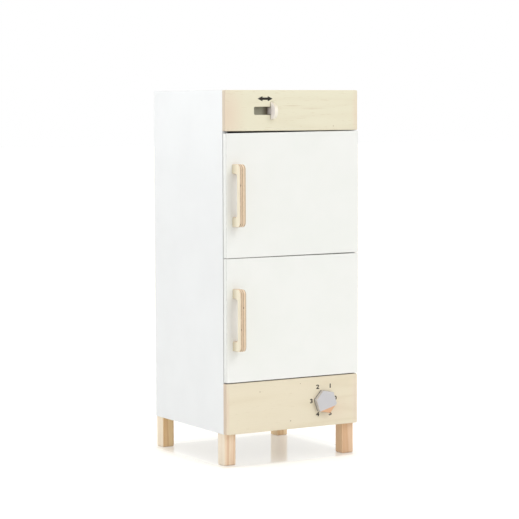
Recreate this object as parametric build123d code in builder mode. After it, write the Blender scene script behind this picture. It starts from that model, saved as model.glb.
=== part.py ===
from build123d import *
import os
from math import radians, tan

# Toy refrigerator of painted board and wood, about 0.8 m tall, in millimetres.
# The origin lies on the floor, midway across the cabinet and midway along the overall depth.
# +X is the hinge side, +Y the back and +Z up, so the doors face -Y.

os.makedirs("parts", exist_ok=True)

# Cabinet boards
cabinet_width = 332.5
side_depth = 308.5  # a side panel, from its front edge to its back edge
body_height = 732  # a side panel, without the legs
side_thickness = 12
board_thickness = 12
back_thickness = 4
back_lap = 6  # the back panel laps this far onto each side panel
panel_clearance = 0.3

# Legs
leg_height = 68
leg_size = 28.5
leg_edge_radius = 2
leg_foot_chamfer = 1.5
leg_side_inset = 2
leg_front_inset = 1

# Wooden fascias above and below the doors
fascia_thickness = 12
upper_fascia_height = 86.8
lower_fascia_height = 109.7
fascia_corner_radius = 3
eased_edge = 0.8

# Doors: the upper one hangs a little low at its free side
door_thickness = 12
split_height = 376.2  # top edge of the lower door, above the bottom of the cabinet
door_gap = 2
header_gap = 1.2
top_edge_drop = 3.2
bottom_edge_drop = 1.1
door_corner_radius = 1.5

# Hinges: a thin butt hinge, with its barrel just outside the right-hand edge
leaf_thickness = 1.2
leaf_gap = 0.6
leaf_margin = 0.5
hinge_end_distance = 45  # middle of a hinge, from the end of its door
knuckle_count = 3
knuckle_radius = 2.5
knuckle_clearance = 0.4
knuckle_gap = 0.3
pin_radius = 1.2
pin_running_clearance = 0.08
pin_head_radius = 1.9
pin_head_height = 0.8
hinge_screw_spacing = 24
hinge_screw_end = 8  # middle of a screw, from the end of its leaf

# Handles, cut from thick plywood
handle_reach = 31.5
handle_height = 132
handle_thickness = 15
handle_bar = 11.5
handle_foot = 20
handle_outer_radius = 11
handle_inner_radius = 7
handle_edge_radius = 1.2
handle_edge_inset = 15  # outer face of the handle, from the door's free edge
upper_handle_height = 510  # middle of the handle, above the bottom of the cabinet
lower_handle_height = 246
handle_screw_bite = 18

# Shelves on pegs
shelf_thickness = 10
shelf_setback = 25
shelf_clearance = 0.5
upper_shelf_rise = 109  # underside of the shelf, above the divider
lower_shelf_rise = 118  # underside of the shelf, above the floor panel
peg_radius = 2.5
peg_reach = 9
peg_inset = 30
peg_skin = 4  # wood left outside the blind end of a peg hole

# Magnetic catches and their strike plates
catch_width = 12
catch_depth = 14
catch_height = 34
catch_above_shelf = 25
catch_corner_radius = 2
catch_screw_spacing = 26
magnet_width = 5
magnet_depth = 10
magnet_height = 18
magnet_proud = 0.2
magnet_clearance = 0.05
catch_air_gap = 0.3
strike_width = 12
strike_height = 30
strike_thickness = 1.2
strike_corner_radius = 2

# Sliding control in the upper fascia
slot_length = 54.2
slot_height = 17.1
slot_corner_radius = 3
slot_from_left = 98.1  # middle of the slot, from the left-hand edge
slot_above_fascia = 42.7  # middle of the slot, above the fascia's lower edge
tab_thickness = 7.8
tab_radius = 18.7
tab_edge_radius = 1
tab_from_slot_end = 6  # right-hand face of the tab, from the right-hand end of the slot
slider_clearance = 0.4
keeper_thickness = 4
keeper_height = 36
keeper_overlap = 4  # the keeper still covers each end of the slot by this much
rail_lip = 4
rail_lip_thickness = 3
rail_screw_inset = 14
slider_screw_spacing = 8
slider_screw_bite = 10

# Turning control in the lower fascia
dial_from_right = 86.75
dial_above_fascia = 54.3
knob_radius = 26.5  # to the corners of the hexagon
knob_thickness = 12
knob_turn = -11  # direction of one corner at rest, in degrees from +X
knob_edge_radius = 1
knob_gap = 0.5
axle_radius = 4
axle_grip = 8  # length of axle inside the knob
axle_clearance = 0.05
axle_running_clearance = 0.1
hub_radius = 13
hub_thickness = 8
hub_grip = 5  # length of axle inside the hub
hub_play = 0.4
dial_screw_bite = 12

# Fasteners
dowel_radius = 3
dowel_board_depth = 20
dowel_inset = 50
dowel_skin = 4  # wood left outside the blind end of a dowel hole in a side panel
fascia_dowel_radius = 2.5
fascia_dowel_depth = 12
fascia_dowel_skin = 5
fascia_dowel_inset = 20
dowel_clearance = 0.05
dowel_end_clearance = 0.3
screw_skin = 3  # wood left beyond the tip of a short screw
screw_clearance = 0.05
screw_tip_clearance = 0.5
screw_head_angle = 82
recess_arm_width = 0.7
recess_depth = 0.5
small_screw_radius = 1.2
small_head_radius = 2.1
medium_screw_radius = 1.5
medium_head_radius = 2.9
large_screw_radius = 2
large_head_radius = 3.8
leg_screw_bite = 24
leg_screw_spacing = 13
back_screw_bite = 14
back_screw_spacing = 130

# Places across the width
half_width = cabinet_width / 2
inner_half_width = half_width - side_thickness
inner_width = 2 * inner_half_width

# Places along the depth
hinge_gap = 2 * leaf_thickness + leaf_gap
overall_depth = side_depth + hinge_gap + door_thickness + handle_reach
back_y = overall_depth / 2
side_front_y = back_y - side_depth
fascia_front_y = side_front_y - fascia_thickness
door_back_y = side_front_y - hinge_gap
door_front_y = door_back_y - door_thickness
board_back_y = back_y - back_thickness
board_depth = board_back_y - side_front_y
board_middle_y = (side_front_y + board_back_y) / 2

# Places up the height
body_bottom_z = leg_height
body_top_z = body_bottom_z + body_height
lower_fascia_top_z = body_bottom_z + lower_fascia_height
upper_fascia_bottom_z = body_top_z - upper_fascia_height
split_z = body_bottom_z + split_height
board_bottoms = {
    "bottom_panel": body_bottom_z,
    "floor_panel": lower_fascia_top_z - board_thickness,
    "divider_panel": split_z + (door_gap - board_thickness) / 2,
    "header_panel": upper_fascia_bottom_z,
    "top_panel": body_top_z - board_thickness,
}
board_middles = [bottom + board_thickness / 2 for bottom in board_bottoms.values()]

# Holes that several pieces share
dowel_hole_radius = dowel_radius + dowel_clearance
fascia_dowel_hole_radius = fascia_dowel_radius + dowel_clearance
peg_hole_radius = peg_radius + dowel_clearance
dowel_ys = (side_front_y + dowel_inset, board_back_y - dowel_inset)
side_middle_x = half_width - side_thickness / 2
fascia_dowel_xs = (-side_middle_x, side_middle_x)
lower_dowel_zs = (body_bottom_z + fascia_dowel_inset, lower_fascia_top_z - fascia_dowel_inset)
upper_dowel_zs = (upper_fascia_bottom_z + fascia_dowel_inset, body_top_z - fascia_dowel_inset)
fascia_dowel_zs = lower_dowel_zs + upper_dowel_zs

# Shelves: the height of each underside, and the pegs under it
shelf_bottoms = {
    "upper_shelf": board_bottoms["divider_panel"] + board_thickness + upper_shelf_rise,
    "lower_shelf": board_bottoms["floor_panel"] + board_thickness + lower_shelf_rise,
}
shelf_front_y = side_front_y + shelf_setback
shelf_back_y = board_back_y - shelf_clearance
peg_ys = (shelf_front_y + peg_inset, shelf_back_y - peg_inset)
peg_zs = [bottom - peg_radius for bottom in shelf_bottoms.values()]

# Catches: each stands on the left-hand side panel, a little above a shelf
catch_front_y = door_back_y + strike_thickness + catch_air_gap + magnet_proud
catch_middle_y = catch_front_y + catch_depth / 2
catch_left_x = -inner_half_width
catch_middle_x = catch_left_x + catch_width / 2
catch_middles = {
    "upper": shelf_bottoms["upper_shelf"] + shelf_thickness + catch_above_shelf,
    "lower": shelf_bottoms["lower_shelf"] + shelf_thickness + catch_above_shelf,
}

# Doors: the corners of each one, from the lower left-hand one and round to the right
lower_door_bottom_z = lower_fascia_top_z + door_gap
upper_door_bottom_z = split_z + door_gap
upper_door_top_z = upper_fascia_bottom_z - header_gap
door_corners = {
    "upper": [
        (-half_width, upper_door_bottom_z - bottom_edge_drop),
        (half_width, upper_door_bottom_z),
        (half_width, upper_door_top_z),
        (-half_width, upper_door_top_z - top_edge_drop),
    ],
    "lower": [
        (-half_width, lower_door_bottom_z),
        (half_width, lower_door_bottom_z),
        (half_width, split_z),
        (-half_width, split_z),
    ],
}
hinge_middles = {
    "upper": {
        "top": upper_door_top_z - hinge_end_distance,
        "bottom": upper_door_bottom_z + hinge_end_distance,
    },
    "lower": {
        "top": split_z - hinge_end_distance,
        "bottom": lower_door_bottom_z + hinge_end_distance,
    },
}

# Handles
handle_left_x = -half_width + handle_edge_inset
handle_middle_x = handle_left_x + handle_thickness / 2
handle_front_y = door_front_y - handle_reach
handle_middles = {
    "upper": body_bottom_z + upper_handle_height,
    "lower": body_bottom_z + lower_handle_height,
}
handle_screw_rise = (handle_height - handle_foot) / 2

# Hinge barrel
hinge_x = half_width + knuckle_clearance + knuckle_radius
hinge_y = side_front_y - hinge_gap / 2
leaf_left_x = half_width - side_thickness + leaf_margin
hinge_height = hinge_screw_spacing + 2 * hinge_screw_end
knuckle_pitch = hinge_height / knuckle_count
frame_knuckles = range(0, knuckle_count, 2)
door_knuckles = range(1, knuckle_count, 2)

# Slider
slot_x = -half_width + slot_from_left
slot_z = upper_fascia_bottom_z + slot_above_fascia
tab_right_x = slot_x + slot_length / 2 - tab_from_slot_end
tab_x = tab_right_x - tab_thickness / 2
slider_travel = slot_length - tab_thickness - 2 * slider_clearance
tab_back_y = fascia_front_y - slider_clearance
stem_height = slot_height - 2 * slider_clearance
keeper_front_y = side_front_y + slider_clearance
keeper_back_y = keeper_front_y + keeper_thickness
keeper_length = slot_length + slider_travel + 2 * keeper_overlap
rail_groove_y = keeper_back_y + slider_clearance
rail_back_y = rail_groove_y + rail_lip_thickness
rail_left_x = slot_x - (keeper_length + slider_travel) / 2
rail_right_x = slot_x + (keeper_length + slider_travel) / 2
cavity_bottom_z = board_bottoms["header_panel"] + board_thickness
cavity_top_z = board_bottoms["top_panel"]

# Dial
dial_x = half_width - dial_from_right
dial_z = body_bottom_z + dial_above_fascia
knob_back_y = fascia_front_y - knob_gap
axle_front_y = knob_back_y - axle_grip
hub_front_y = side_front_y + hub_play
axle_back_y = hub_front_y + hub_grip
hub_back_y = hub_front_y + hub_thickness


def upright(y):
    """The plane at depth y that faces the front: its axes are X and Z, and it extrudes to -Y."""
    return Plane.XZ.offset(-y)


def facing(direction_y, x, y, z):
    """A plane at a point, whose normal runs along Y: -1 for the front, 1 for the back."""
    return Plane(origin=(x, y, z), x_dir=(1, 0, 0), z_dir=(0, direction_y, 0))


def screw(shank_radius, head_radius, length):
    """A countersunk wood screw along -Z, with the face of its head on the XY plane."""
    head_height = (head_radius - shank_radius) / tan(radians(screw_head_angle / 2))
    with BuildPart() as wood_screw:
        with BuildSketch(Plane.XZ):
            with BuildLine():
                Polyline(
                    (0, 0),
                    (head_radius, 0),
                    (shank_radius, -head_height),
                    (shank_radius, shank_radius - length),
                    (0, -length),
                    close=True,
                )
            make_face()
        revolve(axis=Axis.Z)
        with BuildSketch():
            Rectangle(head_radius, recess_arm_width)
            Rectangle(recess_arm_width, head_radius)
        extrude(amount=-recess_depth, mode=Mode.SUBTRACT)
    return wood_screw.part


def countersink(shank_radius, head_radius, depth):
    """The hole under a countersunk screw, at each place in use."""
    CounterSinkHole(
        radius=shank_radius + screw_clearance,
        counter_sink_radius=head_radius + screw_clearance,
        depth=depth,
        counter_sink_angle=screw_head_angle,
    )


def pilot(shank_radius, depth):
    """The blind hole that takes the end of a screw, at each place in use."""
    Hole(radius=shank_radius + screw_clearance, depth=depth + screw_tip_clearance)


# Places of the screws that join two pieces
back_screw_xs = (-back_screw_spacing, 0, back_screw_spacing)
back_screw_places = [facing(1, x, back_y, z) for z in board_middles for x in back_screw_xs]
hinge_screw_zs = {
    door: [
        middle + side * hinge_screw_spacing / 2
        for middle in hinges.values()
        for side in (-1, 1)
    ]
    for door, hinges in hinge_middles.items()
}
all_hinge_screw_zs = hinge_screw_zs["upper"] + hinge_screw_zs["lower"]
catch_screw_zs = {
    name: (middle - catch_screw_spacing / 2, middle + catch_screw_spacing / 2)
    for name, middle in catch_middles.items()
}
catch_right_x = catch_left_x + catch_width
catch_screw_places = {
    name: [Plane(origin=(catch_right_x, catch_middle_y, z), z_dir=(1, 0, 0)) for z in zs]
    for name, zs in catch_screw_zs.items()
}
hinge_screw_grip = door_thickness - screw_skin
hinge_screw_length = leaf_thickness + hinge_screw_grip
catch_screw_grip = side_thickness - screw_skin
catch_screw_length = catch_width + catch_screw_grip
rail_thickness = rail_back_y - side_front_y
rail_screw_grip = fascia_thickness - screw_skin
handle_screw_length = door_thickness + handle_screw_bite
dial_screw_length = hub_thickness - hub_grip + dial_screw_bite

# Side panels: one blank with the holes that both share, and its mirror image
with BuildPart() as side_blank:
    with BuildSketch(Plane.YZ.offset(-half_width)):
        with Locations(((side_front_y + back_y) / 2, body_bottom_z + body_height / 2)):
            Rectangle(side_depth, body_height)
    extrude(amount=side_thickness)
    with BuildSketch(Plane.XY.offset(body_bottom_z)):
        with Locations((-inner_half_width, back_y)):
            Rectangle(back_lap, back_thickness, align=(Align.MAX, Align.MAX))
    extrude(amount=body_height, mode=Mode.SUBTRACT)
    with BuildSketch(Plane.YZ.offset(-half_width + dowel_skin)):
        with Locations(*[(y, z) for y in dowel_ys for z in board_middles]):
            Circle(dowel_hole_radius)
    extrude(amount=side_thickness - dowel_skin, mode=Mode.SUBTRACT)
    with BuildSketch(Plane.YZ.offset(-half_width + peg_skin)):
        with Locations(*[(y, z) for y in peg_ys for z in peg_zs]):
            Circle(peg_hole_radius)
    extrude(amount=side_thickness - peg_skin, mode=Mode.SUBTRACT)
    with Locations(*[facing(-1, -side_middle_x, side_front_y, z) for z in fascia_dowel_zs]):
        Hole(radius=fascia_dowel_hole_radius, depth=fascia_dowel_depth)

with BuildPart() as left_side_panel:
    add(side_blank.part)
    with Locations(
        *[place.offset(-catch_width) for places in catch_screw_places.values() for place in places]
    ):
        pilot(medium_screw_radius, catch_screw_grip)
left_side_panel.part.label = "left_side_panel"
export_step(left_side_panel.part, "parts/left_side_panel.step")

with BuildPart() as right_side_panel:
    add(mirror(side_blank.part, about=Plane.YZ, mode=Mode.PRIVATE))
    with Locations(*[facing(-1, side_middle_x, side_front_y, z) for z in all_hinge_screw_zs]):
        pilot(small_screw_radius, hinge_screw_grip)
right_side_panel.part.label = "right_side_panel"
export_step(right_side_panel.part, "parts/right_side_panel.step")

# Legs, under the corners of the cabinet
leg_middle_x = half_width - leg_side_inset - leg_size / 2
leg_middle_ys = {
    "front": side_front_y + leg_front_inset + leg_size / 2,
    "rear": back_y - leg_size / 2,
}
leg_screw_x = (inner_half_width + leg_middle_x - leg_size / 2) / 2
leg_screw_ys = {
    "front": leg_middle_ys["front"],
    "rear": (leg_middle_ys["rear"] - leg_size / 2 + board_back_y) / 2,
}
for row, screw_y in leg_screw_ys.items():
    for hand, side in (("left", -1), ("right", 1)):
        with BuildPart() as leg:
            with BuildSketch():
                with Locations((side * leg_middle_x, leg_middle_ys[row])):
                    RectangleRounded(leg_size, leg_size, leg_edge_radius)
            extrude(amount=leg_height)
            chamfer(leg.faces().sort_by(Axis.Z)[0].edges(), leg_foot_chamfer)
            with Locations((side * leg_screw_x, screw_y, leg_height)):
                with GridLocations(0, leg_screw_spacing, 1, 2):
                    pilot(large_screw_radius, leg_screw_bite)
        leg.part.label = f"{row}_{hand}_leg"
        export_step(leg.part, f"parts/{row}_{hand}_leg.step")

leg_screw_places = [
    (side * leg_screw_x, screw_y + step * leg_screw_spacing / 2, body_bottom_z + board_thickness)
    for screw_y in leg_screw_ys.values()
    for side in (-1, 1)
    for step in (-1, 1)
]
with BuildPart() as leg_screws:
    with Locations(*leg_screw_places):
        add(screw(large_screw_radius, large_head_radius, board_thickness + leg_screw_bite))
leg_screws.part.label = "leg_screws"
export_step(leg_screws.part, "parts/leg_screws.step")

# Level boards between the side panels
for name, bottom in board_bottoms.items():
    with BuildPart() as board:
        with BuildSketch(Plane.XY.offset(bottom)):
            with Locations((0, board_middle_y)):
                Rectangle(inner_width, board_depth)
        extrude(amount=board_thickness)
        for start_x in (-inner_half_width, inner_half_width - dowel_board_depth):
            with BuildSketch(Plane.YZ.offset(start_x)):
                with Locations(*[(y, bottom + board_thickness / 2) for y in dowel_ys]):
                    Circle(dowel_hole_radius)
            extrude(amount=dowel_board_depth, mode=Mode.SUBTRACT)
        middle_z = bottom + board_thickness / 2
        with Locations(*[facing(1, x, board_back_y, middle_z) for x in back_screw_xs]):
            pilot(medium_screw_radius, back_screw_bite)
        if name == "bottom_panel":
            with Locations(*leg_screw_places):
                countersink(large_screw_radius, large_head_radius, board_thickness)
    board.part.label = name
    export_step(board.part, f"parts/{name}.step")

dowel_start_x = half_width - dowel_skin - dowel_end_clearance
dowel_length = (
    side_thickness - dowel_skin + dowel_board_depth - 2 * dowel_end_clearance
)
with BuildPart() as board_dowels:
    for start_x in (-dowel_start_x, dowel_start_x - dowel_length):
        with BuildSketch(Plane.YZ.offset(start_x)):
            with Locations(*[(y, z) for y in dowel_ys for z in board_middles]):
                Circle(dowel_radius)
        extrude(amount=dowel_length)
board_dowels.part.label = "board_dowels"
export_step(board_dowels.part, "parts/board_dowels.step")

# Back panel, let into rebates in the side panels
with BuildPart() as back_panel:
    with BuildSketch(upright(back_y)):
        with Locations((0, body_bottom_z + body_height / 2)):
            Rectangle(inner_width + 2 * (back_lap - panel_clearance), body_height)
    extrude(amount=back_thickness)
    with Locations(*back_screw_places):
        countersink(medium_screw_radius, medium_head_radius, back_thickness)
back_panel.part.label = "back_panel"
export_step(back_panel.part, "parts/back_panel.step")

with BuildPart() as back_panel_screws:
    with Locations(*back_screw_places):
        add(screw(medium_screw_radius, medium_head_radius, back_thickness + back_screw_bite))
back_panel_screws.part.label = "back_panel_screws"
export_step(back_panel_screws.part, "parts/back_panel_screws.step")

# Shelves and the pegs that carry them
for name, bottom in shelf_bottoms.items():
    with BuildPart() as shelf:
        with BuildSketch(Plane.XY.offset(bottom)):
            with Locations((0, (shelf_front_y + shelf_back_y) / 2)):
                Rectangle(inner_width - 2 * shelf_clearance, shelf_back_y - shelf_front_y)
        extrude(amount=shelf_thickness)
        fillet(shelf.faces().sort_by(Axis.Y)[0].edges().filter_by(Axis.X), eased_edge)
    shelf.part.label = name
    export_step(shelf.part, f"parts/{name}.step")

peg_start_x = half_width - peg_skin - dowel_end_clearance
peg_length = peg_start_x - inner_half_width + peg_reach
with BuildPart() as shelf_pegs:
    for start_x in (-peg_start_x, peg_start_x - peg_length):
        with BuildSketch(Plane.YZ.offset(start_x)):
            with Locations(*[(y, z) for y in peg_ys for z in peg_zs]):
                Circle(peg_radius)
        extrude(amount=peg_length)
shelf_pegs.part.label = "shelf_pegs"
export_step(shelf_pegs.part, "parts/shelf_pegs.step")

# Upper fascia, with the slot of the slider
rail_screw_xs = (rail_left_x + rail_screw_inset, rail_right_x - rail_screw_inset)
top_rail_bottom_z = slot_z + keeper_height / 2 + slider_clearance
top_rail_top_z = cavity_top_z - panel_clearance
bottom_rail_top_z = slot_z - keeper_height / 2 - slider_clearance
bottom_rail_bottom_z = cavity_bottom_z + panel_clearance
rail_screw_zs = (
    (top_rail_bottom_z + top_rail_top_z) / 2,
    (bottom_rail_bottom_z + bottom_rail_top_z) / 2,
)
with BuildPart() as upper_fascia:
    with BuildSketch(upright(side_front_y)):
        with Locations((0, upper_fascia_bottom_z + upper_fascia_height / 2)):
            RectangleRounded(cabinet_width, upper_fascia_height, fascia_corner_radius)
        with Locations((slot_x, slot_z)):
            RectangleRounded(slot_length, slot_height, slot_corner_radius, mode=Mode.SUBTRACT)
    extrude(amount=fascia_thickness)
    fillet(upper_fascia.faces().sort_by(Axis.Y)[0].edges(), eased_edge)
    with Locations(
        *[facing(1, x, side_front_y, z) for x in fascia_dowel_xs for z in upper_dowel_zs]
    ):
        Hole(radius=fascia_dowel_hole_radius, depth=fascia_thickness - fascia_dowel_skin)
    with Locations(*[facing(1, x, side_front_y, z) for x in rail_screw_xs for z in rail_screw_zs]):
        pilot(medium_screw_radius, rail_screw_grip)
upper_fascia.part.label = "upper_fascia"
export_step(upper_fascia.part, "parts/upper_fascia.step")

# Lower fascia, with the bore of the dial's axle
with BuildPart() as lower_fascia:
    with BuildSketch(upright(side_front_y)):
        with Locations((0, body_bottom_z + lower_fascia_height / 2)):
            RectangleRounded(cabinet_width, lower_fascia_height, fascia_corner_radius)
        with Locations((dial_x, dial_z)):
            Circle(axle_radius + axle_running_clearance, mode=Mode.SUBTRACT)
    extrude(amount=fascia_thickness)
    front_edges = lower_fascia.faces().sort_by(Axis.Y)[0].outer_wire().edges()
    fillet(front_edges, eased_edge)
    with Locations(
        *[facing(1, x, side_front_y, z) for x in fascia_dowel_xs for z in lower_dowel_zs]
    ):
        Hole(radius=fascia_dowel_hole_radius, depth=fascia_thickness - fascia_dowel_skin)
lower_fascia.part.label = "lower_fascia"
export_step(lower_fascia.part, "parts/lower_fascia.step")

fascia_dowel_front_y = fascia_front_y + fascia_dowel_skin + dowel_end_clearance
fascia_dowel_back_y = side_front_y + fascia_dowel_depth - dowel_end_clearance
with BuildPart() as fascia_dowels:
    with BuildSketch(upright(fascia_dowel_back_y)):
        with Locations(*[(x, z) for x in fascia_dowel_xs for z in fascia_dowel_zs]):
            Circle(fascia_dowel_radius)
    extrude(amount=fascia_dowel_back_y - fascia_dowel_front_y)
fascia_dowels.part.label = "fascia_dowels"
export_step(fascia_dowels.part, "parts/fascia_dowels.step")

# Slider: a half-round tab on a stem, and the keeper board that slides behind the fascia
slider_screw_zs = (slot_z - slider_screw_spacing / 2, slot_z + slider_screw_spacing / 2)
slider_screw_places = [facing(1, tab_x, keeper_back_y, z) for z in slider_screw_zs]
with BuildPart() as slider_tab:
    with BuildSketch(Plane.YZ.offset(tab_x - tab_thickness / 2)):
        with BuildLine():
            Line((tab_back_y, slot_z + tab_radius), (tab_back_y, slot_z - tab_radius))
            ThreePointArc(
                (tab_back_y, slot_z - tab_radius),
                (tab_back_y - tab_radius, slot_z),
                (tab_back_y, slot_z + tab_radius),
            )
        make_face()
    extrude(amount=tab_thickness)
    fillet(slider_tab.edges().filter_by(GeomType.CIRCLE), tab_edge_radius)
    with BuildSketch(upright(keeper_front_y)):
        with Locations((tab_x, slot_z)):
            RectangleRounded(tab_thickness, stem_height, slot_corner_radius - slider_clearance)
    extrude(amount=keeper_front_y - tab_back_y)
    with Locations(*[facing(1, tab_x, keeper_front_y, z) for z in slider_screw_zs]):
        pilot(small_screw_radius, slider_screw_bite)
slider_tab.part.label = "slider_tab"
export_step(slider_tab.part, "parts/slider_tab.step")

with BuildPart() as slider_keeper:
    with BuildSketch(upright(keeper_back_y)):
        with Locations((tab_x, slot_z)):
            Rectangle(keeper_length, keeper_height)
    extrude(amount=keeper_thickness)
    with Locations(*slider_screw_places):
        countersink(small_screw_radius, small_head_radius, keeper_thickness)
slider_keeper.part.label = "slider_keeper"
export_step(slider_keeper.part, "parts/slider_keeper.step")

with BuildPart() as slider_screws:
    with Locations(*slider_screw_places):
        add(screw(small_screw_radius, small_head_radius, keeper_thickness + slider_screw_bite))
slider_screws.part.label = "slider_screws"
export_step(slider_screws.part, "parts/slider_screws.step")

# Rails: lipped strips behind the fascia, above and below the keeper
rail_ends = {
    "slider_top_rail": (top_rail_top_z, top_rail_bottom_z, -rail_lip),
    "slider_bottom_rail": (bottom_rail_bottom_z, bottom_rail_top_z, rail_lip),
}
for name, (outer_z, inner_z, lip) in rail_ends.items():
    with BuildPart() as rail:
        with BuildSketch(Plane.YZ.offset(rail_left_x)):
            with BuildLine():
                Polyline(
                    (side_front_y, outer_z),
                    (side_front_y, inner_z),
                    (rail_groove_y, inner_z),
                    (rail_groove_y, inner_z + lip),
                    (rail_back_y, inner_z + lip),
                    (rail_back_y, outer_z),
                    close=True,
                )
            make_face()
        extrude(amount=rail_right_x - rail_left_x)
        middle_z = (outer_z + inner_z) / 2
        with Locations(*[facing(1, x, rail_back_y, middle_z) for x in rail_screw_xs]):
            countersink(medium_screw_radius, medium_head_radius, rail_thickness)
    rail.part.label = name
    export_step(rail.part, f"parts/{name}.step")

with BuildPart() as rail_screws:
    with Locations(*[facing(1, x, rail_back_y, z) for x in rail_screw_xs for z in rail_screw_zs]):
        add(screw(medium_screw_radius, medium_head_radius, rail_thickness + rail_screw_grip))
rail_screws.part.label = "rail_screws"
export_step(rail_screws.part, "parts/rail_screws.step")

# Dial: a hexagonal knob on an axle, held by a hub behind the fascia
with BuildPart() as dial_knob:
    with BuildSketch(upright(knob_back_y)):
        with Locations((dial_x, dial_z)):
            RegularPolygon(knob_radius, 6, rotation=knob_turn)
    extrude(amount=knob_thickness)
    fillet(dial_knob.faces().sort_by(Axis.Y)[0].edges(), knob_edge_radius)
    with Locations(facing(1, dial_x, knob_back_y, dial_z)):
        Hole(radius=axle_radius + axle_clearance, depth=axle_grip)
dial_knob.part.label = "dial_knob"
export_step(dial_knob.part, "parts/dial_knob.step")

with BuildPart() as dial_axle:
    with BuildSketch(upright(axle_back_y)):
        with Locations((dial_x, dial_z)):
            Circle(axle_radius)
    extrude(amount=axle_back_y - axle_front_y)
    with Locations(facing(1, dial_x, axle_back_y, dial_z)):
        pilot(medium_screw_radius, dial_screw_bite)
dial_axle.part.label = "dial_axle"
export_step(dial_axle.part, "parts/dial_axle.step")

with BuildPart() as dial_hub:
    with BuildSketch(upright(hub_back_y)):
        with Locations((dial_x, dial_z)):
            Circle(hub_radius)
    extrude(amount=hub_thickness)
    fillet(dial_hub.faces().sort_by(Axis.Y)[-1].edges(), eased_edge)
    with Locations(facing(-1, dial_x, hub_front_y, dial_z)):
        Hole(radius=axle_radius + axle_clearance, depth=hub_grip)
    with Locations(facing(1, dial_x, hub_back_y, dial_z)):
        countersink(medium_screw_radius, medium_head_radius, hub_thickness)
dial_hub.part.label = "dial_hub"
export_step(dial_hub.part, "parts/dial_hub.step")

with BuildPart() as dial_screw:
    with Locations(facing(1, dial_x, hub_back_y, dial_z)):
        add(screw(medium_screw_radius, medium_head_radius, dial_screw_length))
dial_screw.part.label = "dial_screw"
export_step(dial_screw.part, "parts/dial_screw.step")


def hinge_leaf(middle_z, plate_front_y, outward, knuckles):
    """One leaf of a hinge: a plate between door and cabinet, with its knuckles on the barrel."""
    low_z = middle_z - hinge_height / 2
    plate_middle_y = plate_front_y + leaf_thickness / 2
    open_face_y = plate_middle_y + outward * leaf_thickness / 2
    with BuildPart() as leaf:
        with BuildSketch(Plane.XY.offset(low_z)):
            with Locations(((leaf_left_x + half_width) / 2, plate_middle_y)):
                Rectangle(half_width - leaf_left_x, leaf_thickness)
        extrude(amount=hinge_height)
        for knuckle in knuckles:
            with BuildSketch(Plane.XY.offset(low_z + knuckle * knuckle_pitch + knuckle_gap / 2)):
                with Locations((half_width, plate_middle_y)):
                    Rectangle(hinge_x - half_width, leaf_thickness, align=(Align.MIN, Align.CENTER))
                with Locations((hinge_x, hinge_y)):
                    Circle(knuckle_radius)
                    Circle(pin_radius + pin_running_clearance, mode=Mode.SUBTRACT)
            extrude(amount=knuckle_pitch - knuckle_gap)
        with Locations(facing(outward, side_middle_x, open_face_y, middle_z)):
            with GridLocations(0, hinge_screw_spacing, 1, 2):
                countersink(small_screw_radius, small_head_radius, leaf_thickness)
    return leaf.part


# Hinge leaves, four on the cabinet and two on each door
for door, hinges in hinge_middles.items():
    for place, middle in hinges.items():
        with BuildPart() as frame_leaf:
            add(hinge_leaf(middle, side_front_y - leaf_thickness, -1, frame_knuckles))
        frame_leaf.part.label = f"{door}_door_{place}_hinge_frame_leaf"
        export_step(frame_leaf.part, f"parts/{door}_door_{place}_hinge_frame_leaf.step")
        with BuildPart() as door_leaf:
            add(hinge_leaf(middle, door_back_y, 1, door_knuckles))
        door_leaf.part.label = f"{door}_door_{place}_hinge_door_leaf"
        export_step(door_leaf.part, f"parts/{door}_door_{place}_hinge_door_leaf.step")

all_hinge_middles = [middle for hinges in hinge_middles.values() for middle in hinges.values()]
pin_length = hinge_height - knuckle_gap
with BuildPart() as hinge_pins:
    for middle in all_hinge_middles:
        with BuildSketch(Plane.XY.offset(middle - pin_length / 2)):
            with Locations((hinge_x, hinge_y)):
                Circle(pin_radius)
        extrude(amount=pin_length)
        for start_z in (middle - pin_length / 2 - pin_head_height, middle + pin_length / 2):
            with BuildSketch(Plane.XY.offset(start_z)):
                with Locations((hinge_x, hinge_y)):
                    Circle(pin_head_radius)
            extrude(amount=pin_head_height)
hinge_pins.part.label = "hinge_pins"
export_step(hinge_pins.part, "parts/hinge_pins.step")

with BuildPart() as hinge_frame_screws:
    with Locations(
        *[
            facing(-1, side_middle_x, side_front_y - leaf_thickness, z)
            for z in all_hinge_screw_zs
        ]
    ):
        add(screw(small_screw_radius, small_head_radius, hinge_screw_length))
hinge_frame_screws.part.label = "hinge_frame_screws"
export_step(hinge_frame_screws.part, "parts/hinge_frame_screws.step")

# Catches on the left-hand side panel, each with a magnet in its front
for name, middle in catch_middles.items():
    with BuildPart() as catch:
        with BuildSketch(Plane.YZ.offset(catch_left_x)):
            with Locations((catch_middle_y, middle)):
                RectangleRounded(catch_depth, catch_height, catch_corner_radius)
        extrude(amount=catch_width)
        with BuildSketch(upright(catch_front_y + magnet_depth - magnet_proud)):
            with Locations((catch_middle_x, middle)):
                Rectangle(magnet_width + 2 * magnet_clearance, magnet_height + 2 * magnet_clearance)
        extrude(amount=magnet_depth, mode=Mode.SUBTRACT)
        with Locations(*catch_screw_places[name]):
            countersink(medium_screw_radius, medium_head_radius, catch_width)
    catch.part.label = f"{name}_catch"
    export_step(catch.part, f"parts/{name}_catch.step")

with BuildPart() as catch_magnets:
    with BuildSketch(upright(catch_front_y + magnet_depth - magnet_proud)):
        with Locations(*[(catch_middle_x, middle) for middle in catch_middles.values()]):
            Rectangle(magnet_width, magnet_height)
    extrude(amount=magnet_depth)
catch_magnets.part.label = "catch_magnets"
export_step(catch_magnets.part, "parts/catch_magnets.step")

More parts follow.
